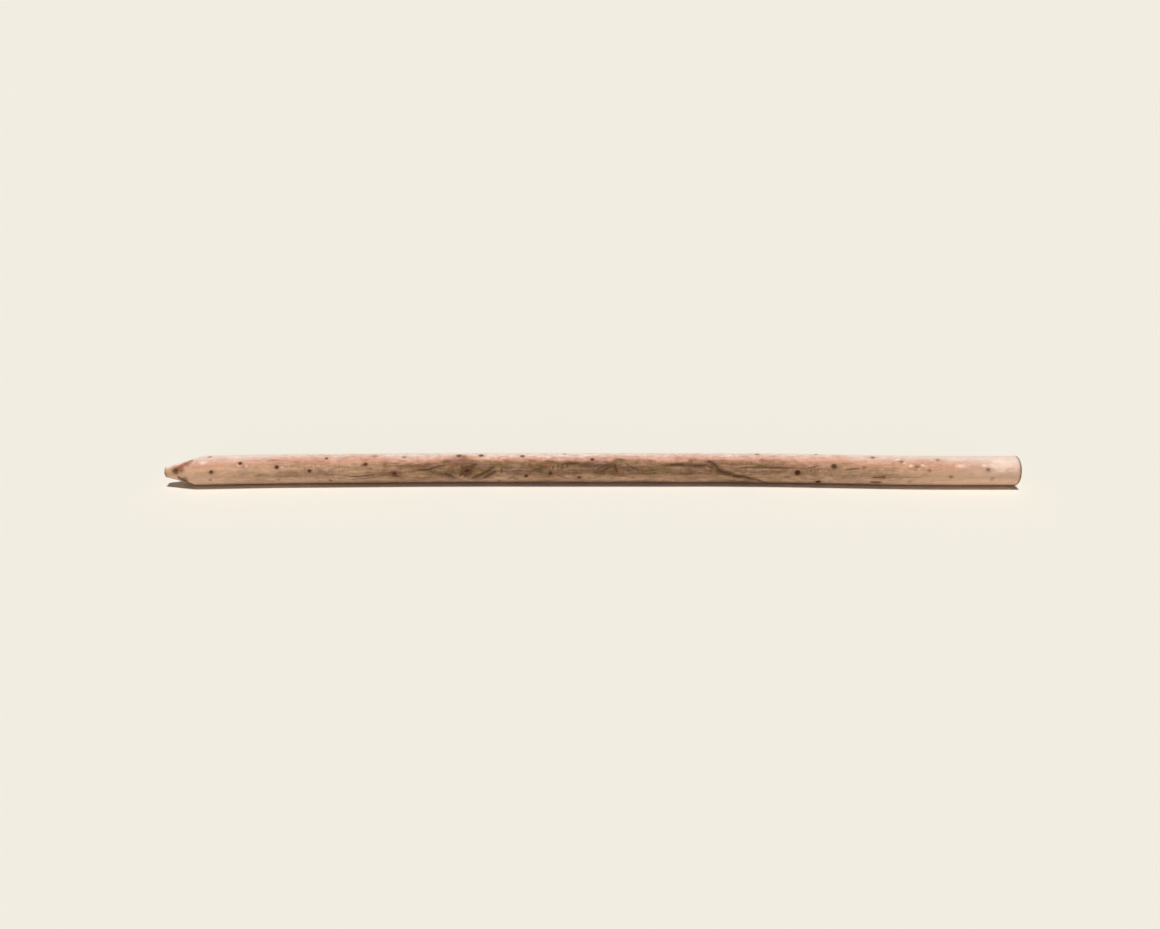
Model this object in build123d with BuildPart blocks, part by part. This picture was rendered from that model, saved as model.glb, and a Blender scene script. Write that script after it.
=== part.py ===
"""Round softwood tree stake, lying on its side with its point towards -X and its head towards +X.

The stake is one peeled pole, turned to a round, with a blunt point, a sawn head and the stem's own
slight crook. Dead knots sit in it: stubs of branches that died before the stem grew round them, so
that a thin ring of bark keeps each one a loose plug of its own.

Millimetres, +Z up. The origin is on the ground, below the middle of the stake.
"""
import math
import os

from build123d import *

# The pole
pole_length = 2000.0
pole_diameter = 70.0
point_length = 79.0
tip_diameter = 23.0
tip_rounding = 5.0
head_chamfer = 2.0

# The point is cut round a line beside the pole's middle, to the side given in degrees as for the knots
point_off_middle = 2.7
point_side = -68.0

# The crook of the stem, seen from above: it bows to +Y between its two ends
bow = 18.0
tip_overhang = 3.0
point_bend_from_tip = 250.0
point_bend_rise = 13.0
lower_bend_from_tip = 640.0
upper_bend_from_head = 620.0
head_bend_from_head = 230.0
bend_share = 0.3

# The pith, which is off the middle of the turned round, to the side given in degrees as for the knots
pith_off_middle = 5.0
pith_side = 217.0

# The dead knots: a tapered plug that points at the pith, leans towards the head and is a little waisted
knot_depth = 12.0
knot_lean = 12.0
knot_waist = 0.5
bark_gap = 0.25

# Knots in view as the stake lies: share of its length from the tip, degrees round it, and width.
# Zero degrees faces -Y, and 90 degrees faces up.
seen_knots = [
    (0.0145, 23, 14.0),
    (0.0540, 84, 9.0),
    (0.0580, 14, 9.0),
    (0.0910, 46, 8.0),
    (0.1335, 29, 9.5),
    (0.1715, 13, 8.0),
    (0.1905, 65, 7.0),
    (0.1945, -31, 7.0),
    (0.2365, 37, 9.0),
    (0.2465, 76, 10.0),
    (0.2700, -1, 11.0),
    (0.2810, 68, 10.0),
    (0.3450, 75, 12.0),
    (0.3550, 10, 20.0),
    (0.3710, 77, 10.0),
    (0.4195, 72, 9.0),
    (0.4240, -11, 9.0),
    (0.4525, 0, 9.0),
    (0.4690, 90, 7.0),
    (0.4860, -19, 10.0),
    (0.5015, 55, 9.0),
    (0.5540, 34, 6.0),
    (0.5720, -29, 6.0),
    (0.6955, 89, 10.0),
    (0.7415, 5, 13.0),
    (0.7650, 100, 10.0),
    (0.7670, -40, 12.0),
    (0.7835, 32, 12.0),
    (0.8295, 77, 8.0),
    (0.8410, -6, 8.0),
    (0.8615, 56, 9.0),
    (0.8720, -28, 7.0),
    (0.8790, 35, 10.5),
    (0.9035, 66, 10.0),
    (0.9180, -3, 9.0),
    (0.9605, 25, 9.0),
]

# Knots out of view, spread round the far side and the underside
far_knot_count = 18
far_knot_start = 0.29
far_side_from = 122.0
far_side_to = 300.0
far_knot_least = 7.0
far_knot_most = 14.0

# From one far knot to the next, the share of the far side that it moves on by, and of the span of widths
golden_ratio = (math.sqrt(5) - 1) / 2
far_turn_step = golden_ratio
far_width_step = 3 * golden_ratio**2

pole_radius = pole_diameter / 2
tip_radius = tip_diameter / 2

# The middle line of the pole: straight runs joined by wide bends
tip = Vector(-pole_length / 2, -bow / 2 - tip_overhang, pole_radius)
head = Vector(pole_length / 2, -bow / 2, pole_radius)
point_bend = tip + Vector(point_bend_from_tip, point_bend_rise, 0)
lower_bend = Vector(tip.X + lower_bend_from_tip, bow / 2, pole_radius)
upper_bend = Vector(head.X - upper_bend_from_head, bow / 2, pole_radius)
head_bend = head - Vector(head_bend_from_head, 0, 0)
stem_points = [tip, point_bend, lower_bend, upper_bend, head_bend, head]

bend_radii = []
for before, corner, after in zip(stem_points, stem_points[1:], stem_points[2:]):
    half_turn = math.radians((corner - before).get_angle(after - corner)) / 2
    shorter_run = min((corner - before).length, (after - corner).length)
    bend_radii.append(bend_share * shorter_run / math.tan(half_turn))

with BuildLine() as whole_line:
    FilletPolyline(*stem_points, radius=bend_radii)
middle_line = whole_line.wire()


def sideways(headward, around):
    """Direction out of the stem, square to its length: -Y at zero degrees and up at 90."""
    front = headward.cross(Vector(0, 0, 1))
    return front * math.cos(math.radians(around)) + Vector(0, 0, math.sin(math.radians(around)))


# The whole pole, before the knots part from it: a round, and what the sharpener takes off it
point_start = middle_line @ 0 + sideways(middle_line % 0, point_side) * point_off_middle
point_plane = Plane(origin=point_start, z_dir=middle_line % 0)
point_widening = (pole_radius - tip_radius) / point_length
waste_radius = 2 * pole_radius
waste_length = (waste_radius - tip_radius) / point_widening
with BuildPart() as stem:
    for stretch in middle_line.edges():
        with BuildSketch(Plane(origin=stretch @ 0, z_dir=stretch % 0)):
            Circle(pole_radius)
        if stretch.geom_type == GeomType.LINE:
            extrude(amount=stretch.length)
        else:
            turn_axis = Axis(stretch.arc_center, (stretch % 0).cross(stretch % 1))
            revolve(axis=turn_axis, revolution_arc=(stretch % 0).get_angle(stretch % 1))
    with BuildSketch(Plane(origin=point_start, x_dir=point_plane.x_dir, z_dir=-point_plane.y_dir)):
        with BuildLine():
            Polyline((tip_radius, 0), (waste_radius, 0), (waste_radius, waste_length), close=True)
        make_face()
    revolve(axis=Axis(point_start, point_plane.z_dir), mode=Mode.SUBTRACT)
    chamfer(stem.faces().sort_by(Axis.X)[-1].edges(), head_chamfer)
    fillet(stem.faces().sort_by(Axis.X)[0].edges(), tip_rounding)

# The places of all the knots
knot_places = list(seen_knots)
for step in range(far_knot_count):
    along = (step + 0.5) / far_knot_count
    turn_share = (far_knot_start + step * far_turn_step) % 1
    width_share = (far_knot_start + step * far_width_step) % 1
    around = far_side_from + (far_side_to - far_side_from) * turn_share
    across = far_knot_least + (far_knot_most - far_knot_least) * width_share
    knot_places.append((along, around, across))


def stem_radius(distance, around):
    """Radius of the stem in a direction, at a distance from its tip: the point's, up to the pole's."""
    turn = math.radians(around - point_side)
    point_radius = tip_radius + point_widening * distance
    beside = point_off_middle * math.sin(turn)
    return min(pole_radius, point_off_middle * math.cos(turn) + math.sqrt(point_radius**2 - beside**2))


def knot_plug(along, around, across, gap):
    """A knot that is wider all round by the gap, and reaches a knot's width past the stem's surface.

    It tapers towards the pith, and its side is an arc turned round the line that stands on its seat.
    """
    distance = along * middle_line.length
    middle = middle_line.position_at(distance, position_mode=PositionMode.LENGTH)
    headward = middle_line.tangent_at(distance, position_mode=PositionMode.LENGTH)
    surface = middle + sideways(headward, around) * stem_radius(distance, around)
    pith = middle + sideways(headward, pith_side) * pith_off_middle
    lean = math.radians(knot_lean)
    outward = (surface - pith).normalized() * math.cos(lean) + headward * math.sin(lean)
    buried = knot_depth / math.cos(lean)
    taper = across / 2 * math.cos(lean) / (surface - pith).length
    reach = buried + across
    seat_edge = (across / 2 - taper * buried + gap, 0)
    far_edge = (across / 2 + taper * across + gap, reach)
    waist = ((seat_edge[0] + far_edge[0]) / 2 - knot_waist, reach / 2)
    seat = Plane(origin=surface - outward * buried, z_dir=outward)
    with BuildPart() as plug:
        with BuildSketch(Plane(origin=seat.origin, x_dir=seat.x_dir, z_dir=-seat.y_dir)):
            with BuildLine():
                ThreePointArc(seat_edge, waist, far_edge)
                Polyline(far_edge, (0, reach), (0, 0), seat_edge)
            make_face()
        revolve(axis=Axis(seat.origin, seat.z_dir))
    return plug.part


os.makedirs("parts", exist_ok=True)

# The pole, with a pocket for each knot that is wider than the knot by its ring of bark
pockets = [knot_plug(*place, bark_gap) for place in knot_places]
with BuildPart() as pole:
    add(stem.part)
    add(pockets, mode=Mode.SUBTRACT)
pole.part.label = "pole"
export_step(pole.part, "parts/pole.step")

# The knots, each cut off flush with the stem's surface
plugs = [knot_plug(*place, 0) for place in knot_places]
for number, plug in enumerate(plugs, start=1):
    with BuildPart() as knot:
        add(plug)
        add(stem.part, mode=Mode.INTERSECT)
    knot.part.label = f"knot_{number:02}"
    export_step(knot.part, f"parts/knot_{number:02}.step")

straight_head = middle_line.edges().sort_by(Axis.X)[-1].length - head_chamfer
print(f"stake {pole_length:.0f} mm long, bends of radius {[round(radius) for radius in bend_radii]} mm")
print(f"straight round run below the head {straight_head:.2f} mm, head centre {middle_line @ 1}")
print(f"{len(knot_places)} dead knots")
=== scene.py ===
# %% [markdown]
# # A round tree stake
#
# The real object is one softwood pole, peeled and rounded by a cutter head, with a blunt point at one
# end and a sawn, chamfered head at the other. It keeps the slight crook of the young tree, and dead
# knots sit in it like dark plugs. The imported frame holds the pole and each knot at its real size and
# place. This lesson builds their finished surfaces over that frame: wood whose grain flows round the
# knots, with a brown middle, pale ends and a pink blush along the top.

# %% Load the frame
import math

import bpy
import numpy as np
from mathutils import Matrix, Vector


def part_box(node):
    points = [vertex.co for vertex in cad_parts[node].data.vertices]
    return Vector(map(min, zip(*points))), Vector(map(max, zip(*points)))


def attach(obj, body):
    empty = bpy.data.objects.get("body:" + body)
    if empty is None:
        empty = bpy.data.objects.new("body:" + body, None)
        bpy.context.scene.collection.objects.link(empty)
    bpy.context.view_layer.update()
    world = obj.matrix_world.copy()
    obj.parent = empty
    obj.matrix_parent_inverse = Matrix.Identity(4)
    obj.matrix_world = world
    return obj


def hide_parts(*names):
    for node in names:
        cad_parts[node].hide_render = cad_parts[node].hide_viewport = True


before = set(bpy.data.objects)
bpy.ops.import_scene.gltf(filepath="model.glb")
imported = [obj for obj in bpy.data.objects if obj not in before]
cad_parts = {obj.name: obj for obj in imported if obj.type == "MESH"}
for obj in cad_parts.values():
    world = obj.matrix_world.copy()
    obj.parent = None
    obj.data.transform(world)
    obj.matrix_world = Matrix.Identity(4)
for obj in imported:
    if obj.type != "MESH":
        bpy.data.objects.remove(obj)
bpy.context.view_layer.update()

# %% [markdown]
# ## Camera
#
# The stake lies on a plain cream surface and is seen from straight in front and a little above. It
# could be framed by eye, but here the camera is worked out: a focal length in pixels, the distance of
# the lens from the stake and the angle that it looks down at fix both the size and the perspective.

# %% Camera
image_width = 1160
sensor_width_mm = 36.0
focal_length_pixels = 1018.0
camera_distance = 2.40
camera_looks_down = math.radians(22.0)
camera_aims_at = Vector((-0.0258, 0.0, 0.0467))

lens = bpy.data.cameras.new("camera")
lens.sensor_width = sensor_width_mm
lens.lens = focal_length_pixels * sensor_width_mm / image_width
camera = bpy.data.objects.new("camera", lens)
backwards = Vector((0.0, -math.cos(camera_looks_down), math.sin(camera_looks_down)))
camera.location = camera_aims_at + backwards * camera_distance
camera.rotation_euler = (math.pi / 2 - camera_looks_down, 0.0, 0.0)
bpy.context.scene.collection.objects.link(camera)
bpy.context.scene.camera = camera
bpy.context.scene.view_settings.view_transform = "Standard"
print(f"camera: {lens.lens:.1f} mm lens, {camera_distance} m away")


# %% [markdown]
# Colours are easiest to judge as they look on a screen, from 0 to 255, but a shader wants light
# values. One small function turns the first into the second. Materials are nets of nodes, and a
# helper that adds a node and connects it in one line keeps them readable.

# %% Helpers for colours and nodes
def screen_colour(red, green, blue):
    """Light value of a screen colour: each channel's share of 255, put through the sRGB curve backwards."""
    share = np.array([red, green, blue]) / 255
    light = np.where(share <= 0.04045, share / 12.92, ((share + 0.055) / 1.055) ** 2.4)
    return (*light.tolist(), 1.0)


def add_node(tree, kind, inputs=None, **settings):
    """Adds a node with its settings; each input is linked if it is a socket, and set if it is a value."""
    made = tree.nodes.new(f"ShaderNode{kind}")
    for name, value in settings.items():
        setattr(made, name, value)
    for name, value in (inputs or {}).items():
        if isinstance(value, bpy.types.NodeSocket):
            tree.links.new(value, made.inputs[name])
        else:
            made.inputs[name].default_value = value
    return made


def new_material(name):
    """An empty net of nodes that ends in one Principled BSDF, which it also returns."""
    material = bpy.data.materials.new(name)
    material.use_nodes = True
    tree = material.node_tree
    tree.nodes.clear()
    surface = add_node(tree, "BsdfPrincipled")
    add_node(tree, "OutputMaterial", {"Surface": surface.outputs["BSDF"]})
    return material, tree, surface


cream = screen_colour(242, 237, 225)
print("cream as light:", np.round(cream[:3], 3))

# %% [markdown]
# ## Light and floor
#
# The light is that of a bright studio: a long lamp overhead and a little in front, which leaves a
# narrow dark shadow under the stake, a broad weak lamp low in front, and an even glow from all sides.
# Together they make a level white surface render as white, so each colour looks as it is written.

# %% Lamps
glow = 0.08
front_fill = 0.17
front_fill_rise = math.radians(7.0)
front_fill_spread = math.radians(26.0)
overhead_lean = math.radians(3.5)
overhead_spread = math.radians(8.0)
overhead = (1.0 - glow - front_fill * math.sin(front_fill_rise)) / math.cos(overhead_lean)

lamps = [("overhead", overhead, overhead_lean, overhead_spread),
         ("front_fill", front_fill, math.pi / 2 - front_fill_rise, front_fill_spread)]
for name, level, turn, spread_angle in lamps:
    lamp = bpy.data.lights.new(name, "SUN")
    lamp.energy = level * math.pi
    lamp.angle = spread_angle
    lamp_object = bpy.data.objects.new(name, lamp)
    lamp_object.rotation_euler = (turn, 0.0, 0.0)
    bpy.context.scene.collection.objects.link(lamp_object)
print(f"light: overhead {overhead:.2f}, front {front_fill}, glow {glow}")

# %% [markdown]
# The world shows its cream colour to the camera and to reflections only, so the pale background adds
# no light to the stake. The floor is a plain sheet of the same cream, which takes the shadow.

# %% World and floor
floor_half_width = 30.0
floor_drop = 0.0003

world = bpy.data.worlds.new("studio")
bpy.context.scene.world = world
world.use_nodes = True
net = world.node_tree
net.nodes.clear()
rays = add_node(net, "LightPath")
mirrors = add_node(net, "Math", {0: rays.outputs["Is Glossy Ray"], 1: rays.outputs["Is Transmission Ray"]},
                   operation="MAXIMUM")
seen = add_node(net, "Math", {0: rays.outputs["Is Camera Ray"], 1: mirrors.outputs[0]}, operation="MAXIMUM")
even_glow = add_node(net, "Background", {"Color": (1.0, 1.0, 1.0, 1.0), "Strength": glow})
backdrop = add_node(net, "Background", {"Color": cream, "Strength": 1.0})
sky = add_node(net, "MixShader", {0: seen.outputs[0], 1: even_glow.outputs[0], 2: backdrop.outputs[0]})
add_node(net, "OutputWorld", {"Surface": sky.outputs[0]})

floor_material, net, surface = new_material("cream_floor")
surface.inputs["Base Color"].default_value = cream
surface.inputs["Roughness"].default_value = 1.0
surface.inputs["Specular IOR Level"].default_value = 0.0
corners = np.array([(-1, -1, 0), (1, -1, 0), (1, 1, 0), (-1, 1, 0)]) * floor_half_width
corners[:, 2] = -floor_drop
floor_mesh = bpy.data.meshes.new("floor")
floor_mesh.from_pydata(corners.tolist(), [], [(0, 1, 2, 3)])
floor_mesh.materials.append(floor_material)
floor = bpy.data.objects.new("floor", floor_mesh)
bpy.context.scene.collection.objects.link(floor)
print(f"floor: {2 * floor_half_width:.0f} m wide, {floor_drop * 1000} mm under the stake")

# %% [markdown]
# ## The middle line of the stem
#
# A young tree is never quite straight. This stem has four wide bends, all in one level plane as it
# lies. The corners that the bends round off are the same named lengths as in the CAD model, while the
# length, thickness and bow are read from the frame. A round bend turns the line's slope evenly, so the
# slope is a chain of straight ramps, and adding it up step by step gives the line.

# %% Middle line
tip_overhang = 0.003
point_bend_from_tip = 0.250
point_bend_rise = 0.013
lower_bend_from_tip = 0.640
upper_bend_from_head = 0.620
head_bend_from_head = 0.230
bend_share = 0.3
line_steps = 4000

pole_low, pole_high = np.array(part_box("pole"))
pole_radius = (pole_high[2] - pole_low[2]) / 2
head_x = pole_high[0]
tip_x = -head_x
bow = pole_high[1] - pole_low[1] - 2 * pole_radius

corner_x = np.array([tip_x, tip_x + point_bend_from_tip, tip_x + lower_bend_from_tip,
                     head_x - upper_bend_from_head, head_x - head_bend_from_head, head_x])
tip_y = -bow / 2 - tip_overhang
corner_y = np.array([tip_y, tip_y + point_bend_rise, bow / 2, bow / 2, -bow / 2, -bow / 2])
run_length = np.diff(corner_x)
run_slope = np.diff(corner_y) / run_length
bend_reach = bend_share * np.minimum(run_length[:-1], run_length[1:])
bend_x = np.stack([corner_x[1:-1] - bend_reach, corner_x[1:-1] + bend_reach], axis=1).ravel()

line_x = np.linspace(tip_x, head_x, line_steps + 1)
line_slope = np.interp(line_x, bend_x, np.repeat(run_slope, 2)[1:-1])
mid_slope = (line_slope[1:] + line_slope[:-1]) / 2
step_x = np.diff(line_x)
line_y = tip_y + np.concatenate([[0.0], np.cumsum(mid_slope * step_x)])
line_along = np.concatenate([[0.0], np.cumsum(np.hypot(step_x, mid_slope * step_x))])
stem_length = line_along[-1]
print(f"middle line: {stem_length:.4f} m long, radius {pole_radius:.4f} m, bow {bow:.4f} m")


# %% [markdown]
# Everything on the stake is placed by three numbers: how far along the stem, how far round it, and
# how far out from the middle line. Zero degrees faces the viewer and 90 degrees faces up. One function
# turns them into a point, and a second one goes back, to read where the knots of the frame sit.

# %% Places on the stem
def on_stem(along, around, out):
    """Point on the middle line, plus out times (cosine of around towards the front, sine of around upwards).

    The front direction is level and square to the line: (slope, -1, 0) divided by its length.
    """
    along, around, out = np.broadcast_arrays(along, around, out)
    slope = np.interp(along, line_along, line_slope)
    stretch = np.sqrt(1 + slope**2)
    forward = out * np.cos(around)
    x = np.interp(along, line_along, line_x) + forward * slope / stretch
    y = np.interp(along, line_along, line_y) - forward / stretch
    return np.stack([x, y, pole_radius + out * np.sin(around)], axis=-1)


def stem_place(points):
    """Along, around and out of points near the stem: the offset from the line, split along and across it."""
    x, y, z = np.asarray(points).T
    slope = np.interp(x, line_x, line_slope)
    stretch = np.sqrt(1 + slope**2)
    offset = y - np.interp(x, line_x, line_y)
    forward = -offset / stretch
    along = np.interp(x, line_x, line_along) + offset * slope / stretch
    return along, np.arctan2(z - pole_radius, forward), np.hypot(forward, z - pole_radius)


def turned(angle):
    """The same angle, brought between minus and plus half a turn."""
    return (angle + np.pi) % (2 * np.pi) - np.pi


print("tip at", np.round(on_stem(0.0, 0.0, 0.0), 4), "head at", np.round(on_stem(stem_length, 0.0, 0.0), 4))

# %% [markdown]
# ## Where the knots are
#
# Each knot of the frame is a small plug that ends flush with the stem. Its own mesh tells where: the
# points on the stem's surface give its middle and its width, and nothing has to be written twice. To
# know that surface, the radius of the stem is needed. It is the pole's, or less on the blunt point,
# which was cut round a line a little beside the middle.

# %% Read the knots from the frame
point_length = 0.079
tip_radius = 0.0115
point_off_middle = 0.0027
point_side = math.radians(-68.0)
point_widening = (pole_radius - tip_radius) / point_length
surface_tolerance = 0.0004


def turned_radius(along, around):
    """Radius of the rounded stem: that of the point, up to the pole's.

    From the middle, a round of radius c beside it reaches to the offset times the cosine of the turn from
    its side, plus the root of c squared less the square of the offset times the sine of that turn.
    """
    turn = around - point_side
    point_round = tip_radius + point_widening * np.maximum(along, 0)
    beside = point_off_middle * np.sin(turn)
    return np.minimum(pole_radius, point_off_middle * np.cos(turn) + np.sqrt(point_round**2 - beside**2))


knot_names = sorted(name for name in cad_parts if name.startswith("knot_"))
knot_along, knot_around, knot_radius = np.zeros((3, len(knot_names)))
for index, name in enumerate(knot_names):
    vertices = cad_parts[name].data.vertices
    points = np.zeros(len(vertices) * 3)
    vertices.foreach_get("co", points)
    along, around, out = stem_place(points.reshape(-1, 3))
    flush = out > turned_radius(along, around) - surface_tolerance
    low, high = along[flush].min(), along[flush].max()
    facing = np.arctan2(np.sin(around[flush]).mean(), np.cos(around[flush]).mean())
    sides = turned(around[flush] - facing)
    knot_along[index] = (low + high) / 2
    knot_around[index] = facing + (sides.min() + sides.max()) / 2
    knot_radius[index] = (high - low) / 2
print(f"knots: {len(knot_names)}, {knot_radius.min() * 2000:.1f} to {knot_radius.max() * 2000:.1f} mm wide")

# %% [markdown]
# A dead branch stub isn't a perfect round. Each knot gets an outline of its own: longer along the
# stem, because the branch left it at a slant, and dented by two gentle waves. The pocket in the pole
# uses the same outline, a bark's thickness wider, so the two always fit.

# %% Outline of a knot
rng = np.random.default_rng(7)
knot_long = rng.uniform(1.02, 1.16, len(knot_names))
knot_dents = rng.uniform(-0.05, 0.05, (len(knot_names), 2))
knot_dent_turn = rng.uniform(0, 2 * np.pi, (len(knot_names), 2))


def knot_outline(index, turn):
    """Radius of a knot in the direction turn, measured from the stem's length towards its round.

    An oval, long along the stem, times one plus a wave of two and a wave of three periods.
    """
    oval = 1 / np.sqrt((np.cos(turn) / knot_long[index]) ** 2 + np.sin(turn) ** 2)
    two = knot_dents[index, 0] * np.cos(2 * turn + knot_dent_turn[index, 0])
    three = knot_dents[index, 1] * np.cos(3 * turn + knot_dent_turn[index, 1])
    return knot_radius[index] * oval * (1 + two + three)


print(f"outlines: up to {(knot_long.max() - 1) * 100:.0f} % longer than wide")

# %% [markdown]
# ## The pole's skin
#
# The pole could be a lathe shape with a bump map, but then its knots would be painted on. Instead its
# skin is one closed grid, from the middle of the tip to the pith at the head. Its rows are stations of
# a profile: the flat tip, its rounding, the point, the shaft, the chamfer and the sawn face.

# %% Profile from tip to head
tip_rounding = 0.005
head_chamfer = 0.002
columns = 120
point_step = 0.0013
shaft_step = 0.0027
edge_width = 0.0003
head_rows = 30

point_slant = math.atan2(pole_radius - tip_radius, point_length)
rounding_reach = tip_rounding / math.tan((math.pi / 2 + point_slant) / 2)
flat_tip = tip_radius - rounding_reach
turn = np.linspace(-math.pi, -math.pi / 2 - point_slant, 7)
round_along = tip_rounding + tip_rounding * np.cos(turn)
round_out = flat_tip - tip_rounding * np.sin(turn)
chamfer_along = stem_length - head_chamfer
head_radius = pole_radius - head_chamfer

tip_face = np.linspace(0, flat_tip, 6)[1:-1]
point = np.arange(round_along[-1] + point_step, point_length, point_step)
shaft_rows = round((chamfer_along - point_length) / shaft_step)
shaft = np.linspace(point_length, chamfer_along - edge_width, shaft_rows)
chamfer = head_chamfer * np.array([0.0, 0.06, 0.35, 0.65, 0.94, 1.0])
head_face = np.linspace(head_radius - edge_width, 0, head_rows + 1)[:-1]

station_along = np.concatenate([np.zeros(len(tip_face)), round_along, point, shaft, chamfer_along + chamfer,
                                np.full(len(head_face), stem_length)])
station_out = np.concatenate([tip_face, round_out, tip_radius + point_widening * point,
                              np.full(len(shaft), pole_radius), pole_radius - chamfer, head_face])
rows = len(station_along)
first_side_row = len(tip_face) + len(round_along)
last_side_row = first_side_row + len(point) + len(shaft)
first_face_row = last_side_row + len(chamfer)
print(f"skin: {rows} rows of {columns} points")

# %% [markdown]
# Near a knot the grid lines are pulled into rings round it. The inner rings sink and make a real
# pocket, the next one is its mouth, and the outer ones blend back into the plain grid.

# %% Grid lines bent into rings round the knots
bark_thickness = 0.0002
bark_lip = 0.0007
rings_to_blend = 5
knot_depth = 0.012
knot_lean = math.radians(12.0)
pocket_taper = 0.66

grid_along = np.repeat(station_along[:, None], columns, axis=1)
grid_around = np.repeat(np.arange(columns)[None] * 2 * np.pi / columns, rows, axis=0)
ease_from_tip = np.clip(1 - grid_along / point_length, 0, 1) * (np.arange(rows) >= first_side_row)[:, None]
lag = point_side - grid_around
from_middle = np.maximum(station_out, tip_radius)[:, None] + point_off_middle * np.cos(lag)
grid_around += ease_from_tip * np.arctan2(point_off_middle * np.sin(lag), from_middle)
grid_sunk = np.zeros((rows, columns))
grid_bark = np.zeros((rows, columns))
side_along = station_along[first_side_row:last_side_row]


def square_to_round(across, up):
    """Ring number and direction of a grid step: square rings of steps become circles, with equal angles.

    The ring is the larger of the two steps; the direction runs evenly along each side of the square.
    """
    ring = np.maximum(np.abs(across), np.abs(up))
    wide = np.abs(across) >= np.abs(up)
    safe_across = np.where(across == 0, 1, across)
    safe_up = np.where(up == 0, 1, up)
    turn = np.where(wide, np.pi / 4 * up / safe_across, np.pi / 2 - np.pi / 4 * across / safe_up)
    return ring, turn + np.where(np.where(wide, across, up) < 0, np.pi, 0.0)


for index in range(len(knot_names)):
    middle_row = first_side_row + np.abs(side_along - knot_along[index]).argmin()
    middle_column = np.abs(turned(grid_around[middle_row] - knot_around[index])).argmin()
    radius_here = turned_radius(knot_along[index], knot_around[index])
    row_step = station_along[middle_row + 1] - station_along[middle_row]
    step = math.sqrt(row_step * radius_here * 2 * math.pi / columns)
    rim = max(2, round((knot_radius[index] + bark_thickness) / step))
    reach = rim + rings_to_blend
    steps = np.arange(-reach, reach + 1)
    across, up = np.meshgrid(steps, steps, indexing="ij")
    ring, turn = square_to_round(across, up)
    patch = (middle_row + across, (middle_column + up) % columns)
    mouth = knot_outline(index, turn) + bark_thickness
    inside = ring < rim
    ring_out = np.where(inside, mouth * pocket_taper * ring / (rim - 1),
                        np.where(ring == rim, mouth, mouth + bark_lip + (ring - rim - 1) * step))
    sink = np.where(inside, knot_depth, 0.0)
    ring_along = knot_along[index] + ring_out * np.cos(turn) - sink * math.tan(knot_lean)
    ring_around = knot_around[index] + ring_out * np.sin(turn) / radius_here
    fade = np.clip((reach - ring) / (rings_to_blend - 1), 0, 1)
    hold = fade**2 * (3 - 2 * fade)
    grid_along[patch] += hold * (ring_along - grid_along[patch])
    grid_around[patch] += hold * turned(ring_around - grid_around[patch])
    grid_sunk[patch] += sink
    grid_bark[patch] = np.maximum(grid_bark[patch], ring <= rim)
print(f"pockets: {len(knot_names)}, {int(grid_bark.sum())} points of the skin")

# %% [markdown]
# The cutter head doesn't leave a perfect round. The surface is a little out of round, it carries the
# faint waves of the blades across its length, and the hard wood round a knot stands slightly proud.
# Waves of chance come from one helper that adds up sines with random lengths and phases.

# %% Out of round, cutter waves and proud knots
out_of_round = 0.0005
cutter_wave = 0.00005
cutter_pitch = 0.0085
proud_collar = 0.00035
collar_reach = 0.6
most_proud = 0.0002


def chance_waves(along, around, seed, count, shortest, longest, most_turns):
    """A sum of sines over the stem, from about -1 to 1, each with its own length and whole turns round."""
    draw = np.random.default_rng(seed)
    lengths = draw.uniform(shortest, longest, count)
    turns = draw.integers(-most_turns, most_turns + 1, count)
    phases = draw.uniform(0, 2 * np.pi, count)
    total = np.zeros(np.broadcast(along, around).shape)
    for length, whole, phase in zip(lengths, turns, phases):
        total = total + np.sin(2 * np.pi * along / length + whole * around + phase)
    return total / math.sqrt(count / 2) / 2


def knot_distance(along, around):
    """Distance from each knot's middle over that knot's radius, and the arc across from it, knots last."""
    ahead = along[..., None] - knot_along
    arc = turned(around[..., None] - knot_around) * turned_radius(along, around)[..., None]
    return np.hypot(ahead, arc) / knot_radius, ahead, arc


flat_along = grid_along.ravel()
flat_around = grid_around.ravel()
row_number = np.repeat(np.arange(rows), columns)
on_side = (row_number >= first_side_row) & (row_number < last_side_row)
distance, ahead, arc = knot_distance(flat_along, flat_around)
wobble = np.clip(chance_waves(flat_along, flat_around, 3, 14, 0.12, 0.9, 4), -1, 1)
patches = np.clip(chance_waves(flat_along, flat_around, 4, 8, 0.2, 0.8, 2), 0, 1)
waves = np.sin(2 * np.pi * flat_along / cutter_pitch + flat_around)
collar = np.exp(-((np.clip(distance.min(axis=1) - 1, 0, None) / collar_reach) ** 2))
relief = -out_of_round * (1 + wobble) / 2 + cutter_wave * patches * (waves - 1) + proud_collar * collar
flat_radius = turned_radius(flat_along, flat_around)
side_out = np.where(on_side, flat_radius, np.repeat(station_out, columns))
skin_out = side_out + np.where(on_side, np.minimum(relief, most_proud), 0.0) - grid_sunk.ravel()
print(f"relief: {relief.min() * 1000:.2f} to {relief.max() * 1000:.2f} mm")

# %% [markdown]
# A short split has opened in the wood near the head. It runs along one line of the grid, which sinks.

# %% Split
split_from = 1.657
split_to = 1.679
split_around = math.radians(-36.0)
split_half_width = 0.0021
split_depth = 0.003

past_split = flat_along - np.clip(flat_along, split_from, split_to)
split_arc = turned(flat_around - split_around) * flat_radius
split = np.exp(-(past_split**2 + split_arc**2) / split_half_width**2)
skin_out -= split_depth * split
print(f"split: {(split_to - split_from) * 1000:.0f} mm long")

# %% [markdown]
# The head was cut off with a saw, which leaves shallow ridges. The rows of its grid shrink from the rim
# to the pith, so they lie like growth rings and the columns lie like the rays of the wood. Drying opens
# checks along some rays: there one column sinks, and its two neighbours close in to be its lips.

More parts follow.
